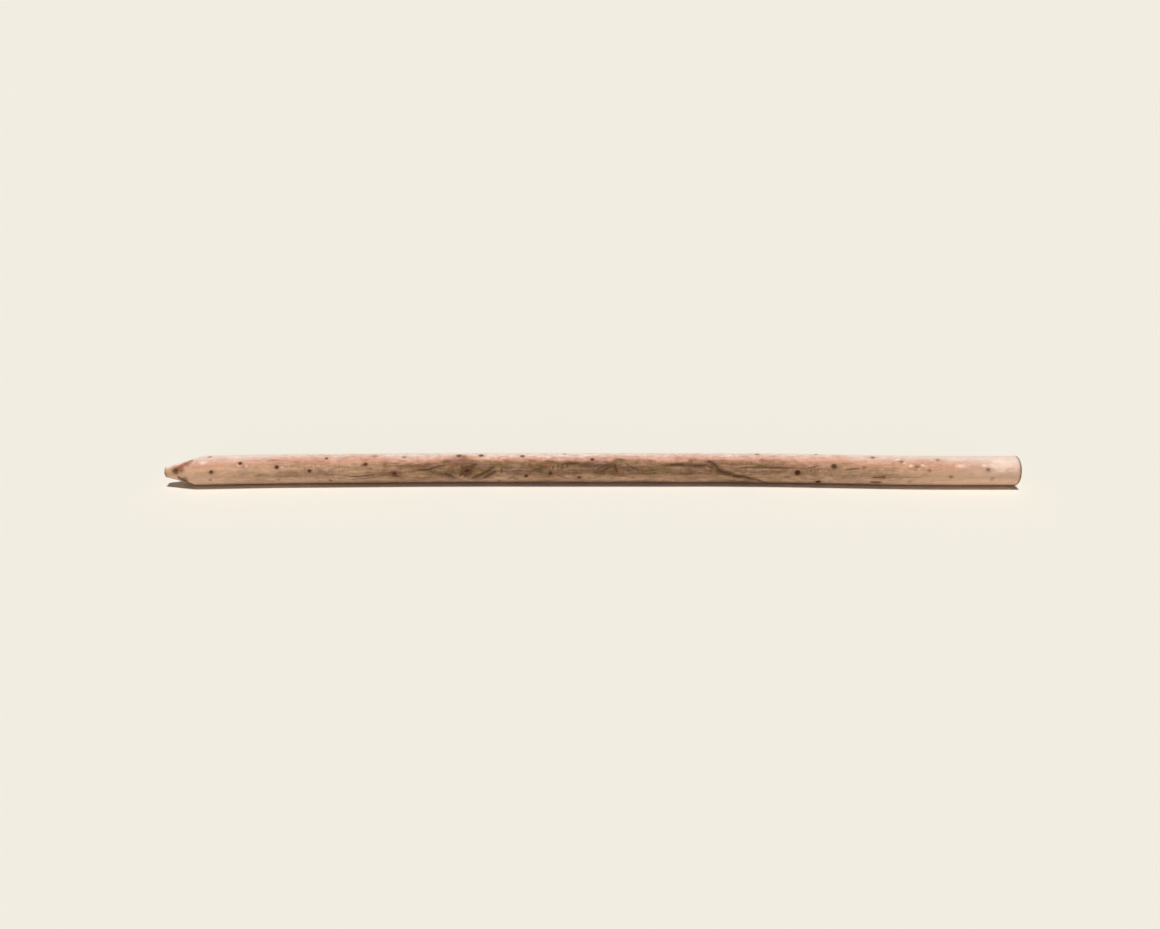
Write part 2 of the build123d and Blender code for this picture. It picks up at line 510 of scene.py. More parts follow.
# %% Sawn head with drying checks
pith_off_middle = 0.005
pith_wander = 0.0035
pith_turn_waver = 0.9
pith_side = math.radians(217.0)
check_columns = [9, 27, 52, 71, 88, 110]
check_lengths = [0.78, 0.45, 0.86, 0.52, 0.70, 0.40]
check_depth = 0.0035
lips_close_in = 0.25
saw_pitch = 0.0045
saw_depth = 0.00018
saw_turn = math.radians(35.0)


def pith_place(along):
    """How far the pith lies in front of and above the stem's middle: its turn and its distance wander."""
    turn = pith_side + pith_turn_waver * chance_waves(along, 0.0, 12, 6, 0.5, 1.6, 0)
    away = pith_off_middle + pith_wander * chance_waves(along, 0.0, 13, 7, 0.25, 0.8, 0)
    return away * np.cos(turn), away * np.sin(turn)


on_face = row_number >= first_face_row
inward = np.where(on_face, 1 - np.repeat(station_out, columns) / head_radius, 0.0)
column_number = np.tile(np.arange(columns), rows)
check = np.zeros(rows * columns)
ray = flat_around.copy()
for column, length in zip(check_columns, check_lengths):
    opening = np.sin(np.pi * np.clip((inward - 1 + length) / length, 0, 1))
    check += opening * (column_number == column)
    beside = (column_number == column - 1) * 1.0 - (column_number == column + 1)
    ray += lips_close_in * beside * np.minimum(3 * opening, 1) * 2 * np.pi / columns

head_pith = pith_place(stem_length)
face_forward = head_radius * np.cos(ray) * (1 - inward) + head_pith[0] * inward
face_upward = head_radius * np.sin(ray) * (1 - inward) + head_pith[1] * inward
saw_place = face_forward * math.cos(saw_turn) + face_upward * math.sin(saw_turn)
saw_ridge = (1 + np.sin(2 * np.pi * saw_place / saw_pitch)) / 2 * np.minimum(10 * inward, 1)
flat_along = flat_along - on_face * (saw_depth * saw_ridge + check_depth * check)
flat_around = np.where(on_face, np.arctan2(face_upward, face_forward), flat_around)
skin_out = np.where(on_face, np.hypot(face_forward, face_upward), skin_out)
print(f"head: {len(check_columns)} checks, pith {np.hypot(*head_pith) * 1000:.1f} mm off the middle")


# %% [markdown]
# The grid is now a skin. Its faces are the quads between neighbours, and a fan of triangles closes each
# end, at the middle of the tip and at the pith. Two more helpers make a piece of a mesh, which rides on
# the stake in place of its CAD node, and hang numbers on its points for the material to read.

# %% Pole mesh
def closed_skin(skin_rows, skin_columns):
    """Faces of a grid that closes round on itself, with a fan of triangles to one end point at each end.

    Point 0 is the first end, then come the rows, and the last point is the other end.
    """
    row, column = np.meshgrid(np.arange(skin_rows - 1), np.arange(skin_columns), indexing="ij")
    beside = (column + 1) % skin_columns
    here = 1 + row * skin_columns
    above = here + skin_columns
    quads = np.stack([here + column, above + column, above + beside, here + beside], -1)
    ring = np.arange(skin_columns)
    ahead_of = (ring + 1) % skin_columns
    last_row = 1 + (skin_rows - 1) * skin_columns
    end_point = last_row + skin_columns
    start_fan = np.stack([np.zeros_like(ring), 1 + ring, 1 + ahead_of], -1)
    end_fan = np.stack([np.full_like(ring, end_point), last_row + ahead_of, last_row + ring], -1)
    return quads.reshape(-1, 4).tolist() + start_fan.tolist() + end_fan.tolist()


def make_piece(name, points, faces, material, node):
    """A smooth mesh object that rides on the stake, stands for its CAD node and takes that finish."""
    mesh = bpy.data.meshes.new(name)
    mesh.from_pydata(points.tolist(), [], faces)
    mesh.polygons.foreach_set("use_smooth", np.ones(len(faces), dtype=bool))
    mesh.materials.append(material)
    piece = bpy.data.objects.new(name, mesh)
    bpy.context.scene.collection.objects.link(piece)
    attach(piece, "root")
    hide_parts(node)
    return piece


def add_attribute(piece, name, values):
    """Stores one number or one vector per point on the mesh, for its material to read."""
    kind, field = ("FLOAT", "value") if values.ndim == 1 else ("FLOAT_VECTOR", "vector")
    layer = piece.data.attributes.new(name, kind, "POINT")
    layer.data.foreach_set(field, np.ascontiguousarray(values, dtype=np.float32).ravel())


pole_material, pole_net, pole_surface = new_material("rounded_softwood")
side_points = on_stem(flat_along, flat_around, skin_out)
tip_middle = on_stem(0.0, point_side, point_off_middle)
side_points[row_number < first_side_row] += tip_middle - on_stem(0.0, 0.0, 0.0)
head_middle = on_stem(stem_length, np.arctan2(head_pith[1], head_pith[0]), np.hypot(*head_pith))
pole_points = np.vstack([tip_middle[None], side_points, head_middle[None]])
pole_faces = closed_skin(rows, columns)
pole = make_piece("rounded_pole", pole_points, pole_faces, pole_material, "pole")
print(f"pole: {len(pole_points)} points, {2 * len(pole_faces) - 2 * columns} triangles")

# %% [markdown]
# ## Grain
#
# Grain runs along the stem and parts round each knot as water parts round a stone. The flow round a
# post has a simple formula: the sideways place of a line is squeezed by one minus the square of the
# radius over the distance. The same bent coordinates carry the growth rings, which are distances from
# a pith that wanders through the stem, so the rings come to the surface in long tongues. Besides the
# dead knots there are tight ones, which grew into the wood and only bend its grain and stain it.

# %% Grain and growth rings
ring_width = 0.0019
grain_squeeze = 0.85
grain_reach = 4.5
grain_waver = 0.05

tight_knots = np.array([
    (0.111, -19, 6), (0.190, 33, 6), (0.268, -24, 7), (0.519, 37, 7), (0.650, -13, 6), (0.785, -38, 7),
    (0.857, 30, 8), (1.099, -19, 6), (1.400, 53, 9), (1.637, 31, 7), (1.786, 22, 8), (1.933, -15, 7),
    (0.420, 140, 8), (0.960, 250, 9), (1.310, 190, 7), (1.720, 225, 8),
])
tight_along, tight_around, tight_radius = tight_knots.T * np.array([[1.0], [math.radians(1)], [0.0005]])
tight_ahead = flat_along[:, None] - tight_along
tight_arc = turned(flat_around[:, None] - tight_around) * flat_radius[:, None]
tight_distance = np.hypot(tight_ahead, tight_arc) / tight_radius


def parting(across, far):
    """How far grain moves aside for knots: the arc across, over the squared distance, fading further out."""
    return (across / np.maximum(far, 1) ** 2 * np.exp(-((far / grain_reach) ** 2))).sum(axis=1)


parted = parting(arc, distance) + parting(tight_arc, tight_distance)
grain_around = flat_around - grain_squeeze * parted / flat_radius
grain_around += grain_waver * chance_waves(flat_along, flat_around, 11, 10, 0.15, 0.5, 3)
pith_forward, pith_upward = pith_place(flat_along)
grain_forward = skin_out * np.cos(grain_around)
grain_upward = skin_out * np.sin(grain_around)
growth = np.hypot(grain_forward - pith_forward, grain_upward - pith_upward) / ring_width
grain = np.stack([flat_along, grain_forward, grain_upward], axis=-1)
print(f"growth rings on the surface: {growth[on_side].min():.1f} to {growth[on_side].max():.1f}")

# %% [markdown]
# ## Colour zones
#
# The wood isn't one brown. The middle of the stake shows olive-brown heart, darkest on the side that
# faces the viewer, both ends are pale, and a blush runs along the upper side: cream on top, salmon
# where it meets the brown. Near the head the pale wood is a little dusty, and underneath it is painted
# paler, as light bounced up from the floor. Each zone is a number on the mesh, made from a few places
# along and round the stem.

# %% Zones of the wood
heart_along = [0.05, 0.25, 0.45, 0.63, 0.80, 1.20, 1.35, 1.48, 1.70, 1.92]
heart_in_front = [0.0, 0.26, 0.52, 0.82, 1.0, 1.0, 0.86, 0.58, 0.28, 0.0]
heart_elsewhere = [0.05, 0.28, 0.50, 0.56, 0.56, 0.56, 0.60, 0.56, 0.22, 0.04]
heart_side = math.radians(34.0)
heart_half_width = math.radians(36.0)
heart_waver = 0.10
blush_along = [0.08, 0.45, 0.70, 1.30, 1.65, 1.85, 1.95]
blush_edge = np.radians([36.0, 40.0, 48.0, 50.0, 41.0, 30.0, 20.0])
blush_reach = np.radians([22.0, 28.0, 16.0, 20.0, 25.0, 24.0, 22.0])
blush_far_edge = math.radians(165.0)
blush_waver = 0.3
dusty_head = 0.22
dusty_head_from = 1.80
dusty_head_to = 1.92
# Underneath, painted light bounced up from the floor makes the pale wood paler.
painted_bounce_below = 0.28
painted_bounce_from = math.radians(18.0)
painted_bounce_to = math.radians(-42.0)


def soft_step(value):
    """0 below 0, 1 above 1, and an S-curve between."""
    share = np.clip(value, 0, 1)
    return share**2 * (3 - 2 * share)


facing = soft_step(1.5 - np.abs(turned(grain_around - heart_side)) / heart_half_width)
front_heart = np.interp(flat_along, heart_along, heart_in_front)
other_heart = np.interp(flat_along, heart_along, heart_elsewhere)
heart = other_heart + (front_heart - other_heart) * facing
heart += heart_waver * chance_waves(flat_along, grain_around, 21, 16, 0.08, 0.5, 4)
upward_turn = (grain_around + np.pi / 2) % (2 * np.pi) - np.pi / 2
past_edge = upward_turn - np.interp(flat_along, blush_along, blush_edge)
blush = np.minimum(past_edge, blush_far_edge - upward_turn) / np.interp(flat_along, blush_along, blush_reach)
blush += blush_waver * chance_waves(flat_along, grain_around, 22, 18, 0.04, 0.4, 3)
blush = np.clip(blush, -2, 3)
near_head = soft_step((flat_along - dusty_head_from) / (dusty_head_to - dusty_head_from))
below = soft_step((upward_turn - painted_bounce_from) / (painted_bounce_to - painted_bounce_from))
# Near the head this is dust; underneath it is painted light, bounced up from the floor onto the pale wood.
dust_and_painted_bounce = np.maximum(dusty_head * near_head, painted_bounce_below * below * np.clip(1 - heart, 0, 1) ** 2)
print(f"zones: heart {heart.mean():.2f}, blush over {np.mean(blush > 0):.2f} of the skin")

# %% [markdown]
# ## Marks
#
# Single marks tell one stake from another. Red and olive stains, pale planed strips, a painted highlight
# on top of the tip and chatter of the cutter are soft spots: metres along, degrees round, half length and
# half width in millimetres, and strength. Those on the side that is seen are placed one by one. The far
# side has as many, by chance.

# %% Spots on the wood
red_spots = [
    (0.043, 49, 12, 11, 1.1), (0.046, 30, 9, 9, 0.9), (0.054, 62, 13, 10, 1.1), (0.063, 72, 11, 7, 0.9),
    (0.215, 58, 30, 4, 0.5), (0.265, 57, 40, 5, 0.6), (0.313, 53, 14, 5, 0.65), (0.367, 52, 30, 4, 0.5),
    (0.471, 58, 25, 4, 0.55), (0.530, 59, 30, 4, 0.5), (0.560, 50, 14, 5, 0.6), (0.697, 62, 24, 16, 0.8),
    (0.717, 44, 12, 7, 0.6), (0.808, 50, 16, 6, 0.9), (0.864, 50, 18, 6, 0.8), (0.899, 36, 13, 6, 1.1),
    (0.955, 41, 20, 4, 0.7), (1.222, 36, 36, 4, 0.6), (1.280, 48, 20, 5, 0.8), (1.340, 52, 40, 4, 0.5),
    (1.528, 41, 6, 9, 0.6), (1.528, 10, 6, 14, 0.6), (1.532, -21, 6, 8, 0.6), (1.595, 45, 22, 6, 0.6),
    (1.690, 58, 18, 5, 0.4), (1.785, 22, 18, 5, 0.55), (1.934, -7, 8, 4, 0.6),
]
dark_spots = [
    (0.053, -26, 12, 10, 0.7), (0.362, -30, 4, 4, 0.5), (0.466, 36, 6, 5, 0.6), (0.500, -33, 5, 4, 0.5),
    (0.706, 8, 13, 10, 0.9), (0.722, 24, 9, 8, 0.8), (0.955, 38, 22, 6, 1.0), (0.990, 34, 26, 6, 1.0),
    (1.015, 31, 20, 6, 1.0), (1.045, 32, 16, 6, 1.0), (1.057, 24, 6, 12, 0.9), (1.148, -17, 14, 7, 0.4),
    (1.200, 34, 30, 5, 1.0), (1.250, 31, 26, 5, 0.9), (1.285, 33, 14, 8, 0.9), (1.350, -13, 22, 5, 1.1),
    (1.276, 44, 12, 6, 0.8), (1.303, 14, 12, 8, 0.8), (1.322, -3, 16, 5, 0.8), (1.372, -22, 14, 4, 0.7),
    (1.430, 24, 34, 3, 0.5), (1.636, 24, 6, 6, 0.5), (1.660, -8, 8, 4, 0.5), (1.886, 5, 4, 10, 0.4),
    (1.935, 24, 9, 4, 0.45),
]
pale_and_highlight_spots = [
    # The first two pale spots, on top of the tip, are painted highlight; the others are pale wood.
    (0.010, 76, 16, 8, 1.1), (0.030, 76, 14, 6, 0.9), (0.094, 51, 14, 9, 0.6), (0.177, 38, 8, 4, 0.8),
    (0.197, 35, 6, 3.5, 0.7), (0.277, 28, 8, 4, 0.85), (0.395, -34, 12, 3, 0.5), (0.790, 82, 55, 12, 0.6),
    (0.860, 72, 120, 7, 0.5), (1.718, 70, 7, 4, 1.1), (1.729, 51, 6, 3.5, 1.1), (1.746, 39, 6, 3.5, 1.1),
    (1.760, 28, 7, 3.5, 1.0), (1.771, 42, 6, 3.5, 1.0), (1.868, 40, 28, 5, 0.8), (1.915, 40, 7, 4.5, 1.1),
    (1.932, 44, 14, 5, 0.9), (1.960, 44, 44, 20, 1.0),
]
chatter_spots = [
    (0.383, 8, 48, 34, 0.5), (0.670, 0, 24, 16, 0.5), (0.840, 50, 40, 10, 0.5), (0.930, 26, 40, 14, 0.6),
    (1.250, 30, 50, 14, 0.4), (1.350, 28, 24, 12, 0.5), (1.530, 20, 20, 20, 0.6),
]
spot_waver_along = 0.0025
spot_waver_around = 0.035

waver = chance_waves(flat_along, flat_around, 31, 24, 0.02, 0.09, 10)
wavered_along = flat_along + spot_waver_along * waver
waver = chance_waves(flat_along, flat_around, 32, 24, 0.02, 0.09, 7)
wavered_around = flat_around + spot_waver_around * waver


def far_spots(seed, count):
    """Spots by chance on the side away from the viewer: place, half sizes and strength, one row each."""
    draw = np.random.default_rng(seed)
    lows = (0.1, 125, 8, 3, 0.4)
    highs = (1.9, 285, 40, 7, 0.8)
    return draw.uniform(lows, highs, (count, len(lows))).tolist()


def spot_mark(at, degrees, half_length_mm, half_width_mm, strength):
    """A soft oval spot: its strength times e to the minus sum of the squared shares of its half sizes."""
    along_share = (wavered_along - at) / (half_length_mm / 1000)
    arc_share = turned(wavered_around - math.radians(degrees)) * flat_radius / (half_width_mm / 1000)
    return strength * np.exp(-(along_share**2) - arc_share**2)


def spot_marks(spots, seed):
    """All spots of a kind, with as many again on the far side: the strongest at each point."""
    return np.max([spot_mark(*spot) for spot in spots + far_spots(seed, len(spots))], axis=0)


red_mark = spot_marks(red_spots, 41)
dark_mark = spot_marks(dark_spots, 42)
pale_and_highlight_mark = spot_marks(pale_and_highlight_spots, 43)
chatter = spot_marks(chatter_spots, 44)
marks = np.stack([red_mark, dark_mark, pale_and_highlight_mark], axis=-1)
print(f"marks: {len(red_spots)} red, {len(dark_spots)} dark and {len(pale_and_highlight_spots)} pale spots in view")

# %% [markdown]
# Dark lines of resin and grain slant across the wood, thinner than the mesh is fine. The first, wide one
# darkens the lower edge of the point. A line painted on the points would blur, so each point holds its
# distance from the line instead, positive on one side and negative on the other. Between points that
# number runs straight through zero, just on the line, and the shader draws it sharp. The distance counts
# in half widths of the line, which tapers to its ends. The lines are dealt out in turn to three sets, so
# that near ones don't disturb each other. A second number, the gap to the nearest line, tells where the
# first one means nothing.

# %% Dark lines
dark_lines = [
    # This first, wide line darkens the lower edge of the point.
    ([(0.034, -12), (0.046, -32), (0.058, -48), (0.070, -68)], 5.5),
    ([(0.431, -13), (0.470, -9), (0.497, -1)], 1.3), ([(0.432, -28), (0.501, -14)], 0.8),
    ([(0.534, -4), (0.552, -15)], 1.6), ([(0.593, 14), (0.619, 16), (0.647, 30), (0.664, 33)], 2.2),
    ([(0.656, 3), (0.683, -22)], 2.6), ([(0.706, 10), (0.735, 40)], 4.2), ([(0.711, 14), (0.704, -20)], 2.8),
    ([(0.712, 14), (0.689, -15)], 2.8), ([(0.712, 12), (0.692, 32)], 2.4),
    ([(0.718, -26), (0.742, -7), (0.777, 28)], 3.8), ([(0.745, -24), (0.780, 11)], 3.0),
    ([(0.792, 22), (0.792, -2)], 1.5), ([(0.803, -29), (0.824, -12)], 1.2), ([(0.860, 9), (0.899, 27)], 1.2),
    ([(0.872, 6), (0.895, 15)], 0.9), ([(0.910, 15), (0.913, 31)], 1.8), ([(0.922, 21), (0.924, 36)], 1.6),
    ([(0.933, 21), (0.934, 36)], 1.6), ([(0.943, 21), (0.946, 38)], 2.0), ([(0.918, -5), (0.951, -27)], 1.0),
    ([(0.935, 37), (0.976, 42)], 1.8), ([(1.012, 14), (1.042, 37)], 2.0), ([(1.019, 4), (1.046, 27)], 2.0),
    ([(1.056, 38), (1.062, 2)], 1.8), ([(1.079, 40), (1.096, 25), (1.116, 11)], 1.3),
    ([(1.183, 36), (1.227, 32), (1.268, 28)], 2.6), ([(1.262, 38), (1.292, 14)], 1.3),
    ([(1.272, 52), (1.287, 40), (1.302, 9), (1.337, -9), (1.359, -16), (1.393, -32), (1.418, -54)], 4.2),
    ([(1.345, 23), (1.390, 26), (1.475, 23)], 1.5), ([(1.450, -14), (1.473, -13)], 0.9),
    ([(1.505, 24), (1.532, 33)], 1.0), ([(1.588, 19), (1.631, 28)], 1.0), ([(1.657, -9), (1.690, -7)], 1.2),
    ([(1.692, -6), (1.730, -5), (1.772, -8)], 0.5), ([(1.654, -36), (1.682, -36)], 3.0),
]
line_sets = 3
line_end_share = 0.05
line_fringe = 2.6
furthest = 30.0
far_lines = 18

draw = np.random.default_rng(45)
for _ in range(far_lines):
    start = draw.uniform((0.15, 165), (1.85, 285))
    end = start + draw.uniform((0.015, -22), (0.06, 22))
    dark_lines.append(([start.tolist(), end.tolist()], draw.uniform(0.9, 2.0)))


def line_offset(places, half_width_mm):
    """Signed distance from a line of straight stretches, over its half width, and the gap to its fringe.

    The distance is to the nearest stretch, positive on its upper side. The half width falls to the ends of
    the line as a half circle's height does.
    """
    places = np.array(places) * (1.0, math.radians(1))
    runs = np.diff(places[:, 0])
    rises = np.diff(places[:, 1]) * pole_radius
    lengths = np.hypot(runs, rises)
    passed = np.cumsum(lengths) - lengths
    nearest = np.full(len(flat_along), np.inf)
    side = np.ones(len(flat_along))
    half_here = np.ones(len(flat_along))
    for (start, turn), run, rise, length, before in zip(places, runs, rises, lengths, passed):
        ahead_of_start = flat_along - start
        arc_from_start = turned(flat_around - turn) * flat_radius
        share = np.clip((ahead_of_start * run + arc_from_start * rise) / length**2, 0, 1)
        away = np.hypot(ahead_of_start - share * run, arc_from_start - share * rise)
        upper = np.where(run * arc_from_start > rise * ahead_of_start, 1.0, -1.0)
        on_line = (before + share * length) / lengths.sum()
        taper = np.sqrt(np.maximum(1 - (2 * on_line - 1) ** 2, line_end_share**2))
        closer = away < nearest
        side = np.where(closer, upper, side)
        half_here = np.where(closer, half_width_mm / 1000 * taper, half_here)
        nearest = np.minimum(away, nearest)
    return np.clip(side * nearest / half_here, -furthest, furthest), nearest - line_fringe * half_here


line_fields = np.full((len(flat_along), line_sets), furthest)
line_gaps = np.full((len(flat_along), line_sets), stem_length)
for number, line in enumerate(dark_lines):
    chosen = number % line_sets
    offset, gap = line_offset(*line)
    nearer = gap < line_gaps[:, chosen]
    line_fields[nearer, chosen] = offset[nearer]
    line_gaps[nearer, chosen] = gap[nearer]
print(f"dark lines: {len(dark_lines)}, of which {far_lines} on the far side")

# %% [markdown]
# The wood round a dead knot is stained, further along the grain than across it. The darkest knots have
# the darkest stain and ring of bark, and tight knots are only stains. The split and the drying checks take
# the bark's brown as painted shade. The tip is grey, most of all on its lower side, and the sawn rim is
# darker. With that, all the numbers are known, and they go on the mesh.

# %% Stains of knots and ends
shades_of_knots = {0.0: (25, 27), 0.1: (4, 5, 6, 9, 11, 14, 17, 18, 21, 28), 0.2: (1, 3, 15, 20),
                   0.55: (31, 33, 36), 0.75: (19, 22, 23, 24, 26, 32, 35), 0.95: (2, 10, 12, 34)}
stain_long = 1.5
stain_reach = 1.35
tight_reach = 1.1
other_shades = (0.25, 0.45)
pale_halo = 0.7
pale_bark = 0.75
grey_tip_length = 0.012
grey_below = 0.9
rim_dark_width = 0.005

knot_shade = rng.uniform(*other_shades, len(knot_names))
for shade, numbers in shades_of_knots.items():
    knot_shade[[knot_names.index(f"knot_{number:02}") for number in numbers]] = shade
stain_distance = np.hypot(ahead / stain_long, arc) / knot_radius
halo = ((1 - pale_halo * knot_shade) * np.exp(-((stain_distance / stain_reach) ** 2))).max(axis=1)
tight = np.exp(-((tight_distance.min(axis=1) / tight_reach) ** 2))
bark_ring = grid_bark.ravel() * (1 - pale_bark * knot_shade[distance.argmin(axis=1)])
# Bark round the knots, and painted shade in the split and the drying checks.
bark_and_crack_shade = np.maximum.reduce([bark_ring, split, check])
# The tip is grey, most of all on its lower side.
grey_on_tip = soft_step(1.2 - flat_along / grey_tip_length) * (row_number < last_side_row)
grey_on_tip *= soft_step(grey_below - np.sin(flat_around))
# A darker band at the sawn rim and over its chamfer.
past_rim_start = flat_along - stem_length + rim_dark_width + head_chamfer
rim_darkening = soft_step(past_rim_start / rim_dark_width) * (station_out > head_radius)[row_number]
end_grain = (~on_side).astype(float)

for name, values in (("grain", grain), ("growth", growth), ("heart", heart), ("blush", blush),
                     ("dust_and_painted_bounce", dust_and_painted_bounce), ("marks", marks), ("lines", line_fields), ("line_gaps", line_gaps),
                     ("chatter", chatter), ("halo", halo), ("tight", tight), ("bark_and_crack_shade", bark_and_crack_shade),
                     ("grey_on_tip", grey_on_tip), ("rim_darkening", rim_darkening), ("end_grain", end_grain)):
    add_attribute(pole, name, np.concatenate([values[:1], values, values[-1:]]))
print("numbers on the skin:", len(pole.data.attributes))


# %% [markdown]
# ## The wood's finish
#
# Noises that are stretched along the grain give the fibres: long coarse ones that tint the wood,
# shorter streaks and mottles that make it lighter and darker, and fine ones that also roughen it. A few
# helpers keep the net of nodes short. They add to the net that is in hand, and take a plain colour as
# it looks on a screen.

# %% Fibres
def read(name, output="Fac"):
    """The mesh's own number or vector of that name."""
    return add_node(net, "Attribute", attribute_name=name).outputs[output]


def lay_over(amount, under, over):
    """Lays the second colour over the first by that amount. A plain colour is three screen values."""
    colours = [screen_colour(*colour) if isinstance(colour, tuple) else colour for colour in (under, over)]
    return add_node(net, "Mix", {0: amount, 6: colours[0], 7: colours[1]}, data_type="RGBA").outputs[2]


def stretched_noise(along_size, across_size, detail=4.0, roughness=0.6):
    """Noise on the grain, whose blots are as long and as wide as given, in metres."""
    scale = (1 / along_size, 1 / across_size, 1 / across_size)
    place = add_node(net, "Mapping", {"Vector": grain_vector, "Scale": scale}).outputs[0]
    settings = {"Vector": place, "Scale": 1.0, "Detail": detail, "Roughness": roughness}
    return add_node(net, "TexNoise", settings).outputs["Fac"]


def spread(value, low, high, to_low=0.0, to_high=1.0):
    """Brings a value from one span to another, and stops at its ends."""
    spans = {"Value": value, "From Min": low, "From Max": high, "To Min": to_low, "To Max": to_high}
    return add_node(net, "MapRange", spans).outputs[0]


def swing(noise, amount):
    """A noise as a swing from minus to plus that amount."""
    return spread(noise, 0.25, 0.75, -amount, amount)


def maths(operation, *values):
    """One sum of the Math node: MULTIPLY, ADD, MULTIPLY_ADD and so on."""
    return add_node(net, "Math", dict(enumerate(values)), operation=operation).outputs[0]


net = pole_net
grain_vector = read("grain", "Vector")
coarse = stretched_noise(0.15, 0.0055, 5.0, 0.62)
streaky = stretched_noise(0.050, 0.0030)
mottle = stretched_noise(0.018, 0.0085, 4.0, 0.65)
fine = stretched_noise(0.020, 0.0007, 3.0)
clouds = stretched_noise(0.09, 0.022, 3.0, 0.55)
across_grain = stretched_noise(0.005, 0.016, 2.0)
print("fibres: six noises along the grain")

# %% [markdown]
# The fraction of the growth ring shades from pale early wood to the dark late line. Heart wood is
# darker than the ends in both, and takes up patches of grey-pink, olive and red-brown.

# %% Rings and heart
late_stops = [(0.0, 0.0), (0.45, 0.12), (0.84, 1.0), (1.0, 0.0)]
fibres_bend_rings = 1.6
pale_early, pale_late = (228, 184, 150), (196, 148, 115)
heart_early, heart_late = (150, 114, 83), (102, 72, 46)
heart_tints = {"Red": (172, 134, 114), "Green": (124, 98, 54), "Blue": (120, 76, 50)}
tint_scale = (18.0, 70.0, 70.0)


def ramp(value, stops):
    """Outputs of a colour ramp through its stops: place, light values and how much the stop covers."""
    made = add_node(net, "ValToRGB", {"Fac": value})
    elements = made.color_ramp.elements
    for stop, (place, light, cover) in zip(elements, (stops[0], stops[-1])):
        stop.position = place
        stop.color = (*light[:3], cover)
    for place, light, cover in stops[1:-1]:
        elements.new(place).color = (*light[:3], cover)
    return made.outputs


bent_growth = maths("MULTIPLY_ADD", coarse, fibres_bend_rings, read("growth"))
grey_stops = [(place, (amount, amount, amount), 1.0) for place, amount in late_stops]
late = ramp(maths("FRACT", bent_growth), grey_stops)["Color"]
heart_mix = spread(read("heart"), 0.0, 1.0)
early_colour = lay_over(heart_mix, pale_early, heart_early)
late_colour = lay_over(heart_mix, pale_late, heart_late)
ring_amount = maths("MULTIPLY", late, spread(clouds, 0.35, 0.65, 0.15, 0.65))
wood = lay_over(ring_amount, early_colour, late_colour)
coarse_heart = spread(heart_mix, 0.0, 0.7, 0.2, 1.0)
coarse_amount = maths("MULTIPLY", spread(coarse, 0.45, 0.72, 0.0, 0.7), coarse_heart)
wood = lay_over(coarse_amount, wood, late_colour)

tint_place = add_node(net, "Mapping", {"Vector": grain_vector, "Scale": tint_scale}).outputs[0]
tint_noise = add_node(net, "TexNoise", {"Vector": tint_place, "Scale": 1.0, "Detail": 3.0})
tints = add_node(net, "SeparateColor", {0: tint_noise.outputs["Color"]}).outputs
tinted_heart = spread(heart_mix, 0.1, 0.85, 0.05, 1.0)
for channel, colour in heart_tints.items():
    patch = spread(tints[channel], 0.5, 0.66, 0.0, 0.75)
    wood = lay_over(maths("MULTIPLY", patch, tinted_heart), wood, colour)
print("rings and heart: early wood, late wood and", len(heart_tints), "tints")

# %% [markdown]
# The blush goes over that, by the distance above its edge, which mottles and coarse fibres fray: red at
# the edge, then salmon, then cream. Then the whole wood is made lighter and darker along its fibres,
# and across them where the cutter chattered. The heart is livelier than the ends.

# %% Blush, light and dark
blush_stops = [(0.20, (196, 134, 106), 0.0), (0.38, (215, 158, 132), 0.8), (0.64, (225, 185, 164), 0.95),
               (0.88, (236, 213, 197), 1.0)]
mottles_fray = 0.9
fibres_fray = 0.8

frayed = maths("MULTIPLY_ADD", mottle, mottles_fray, read("blush"))
frayed = maths("MULTIPLY_ADD", coarse, fibres_fray, frayed)
light_stops = [(place, screen_colour(*colour), cover) for place, colour, cover in blush_stops]
blushing = ramp(spread(frayed, -0.15, 3.35), light_stops)
wood = lay_over(blushing["Alpha"], wood, blushing["Color"])

shade_change = maths("ADD", swing(mottle, 0.32), swing(streaky, 0.17))
chattered = spread(read("chatter"), 0.0, 1.0, 0.22, 1.0)
crossed = maths("MULTIPLY", spread(across_grain, 0.3, 0.7, -0.3, 0.3), chattered)
shade_change = maths("ADD", shade_change, crossed)
liveliness = maths("MULTIPLY", spread(heart_mix, 0.0, 0.75, 0.45, 1.5),
                   spread(blushing["Alpha"], 0.0, 1.0, 1.0, 0.55))
fibre_shade = spread(fine, 0.25, 0.75, 0.86, 1.14)
bright = maths("MULTIPLY_ADD", shade_change, liveliness, fibre_shade)
wood = add_node(net, "HueSaturation", {"Color": wood, "Value": bright}).outputs["Color"]
print("blush:", len(blush_stops), "stops from red to cream")

# %% [markdown]
# Marks come next. Mottles fray each spot, so that no edge looks painted. A line is the edge of a growth
# ring: it darkens slowly from one side and ends sharply on the other, and fibres shake both.

# %% Marks in the wood
# Pale colour for the dust near the head and for the painted floor bounce underneath.
dust_and_bounce_colour = (232, 208, 198)
# Z, the pale mark, is also the painted highlight on top of the tip.
mark_colours = {"X": (144, 84, 63), "Z": (252, 222, 202), "Y": (88, 61, 35)}
line_brown = (76, 51, 28)

marked = add_node(net, "SeparateXYZ", {0: read("marks", "Vector")}).outputs
mottle_swing = swing(mottle, 0.45)
# Dust near the head, and painted light bounced up from the floor underneath.
wood = lay_over(read("dust_and_painted_bounce"), wood, dust_and_bounce_colour)
for channel, colour in mark_colours.items():
    ragged = maths("ADD", marked[channel], mottle_swing)
    wood = lay_over(spread(ragged, 0.3, 0.9, 0.0, 0.85), wood, colour)

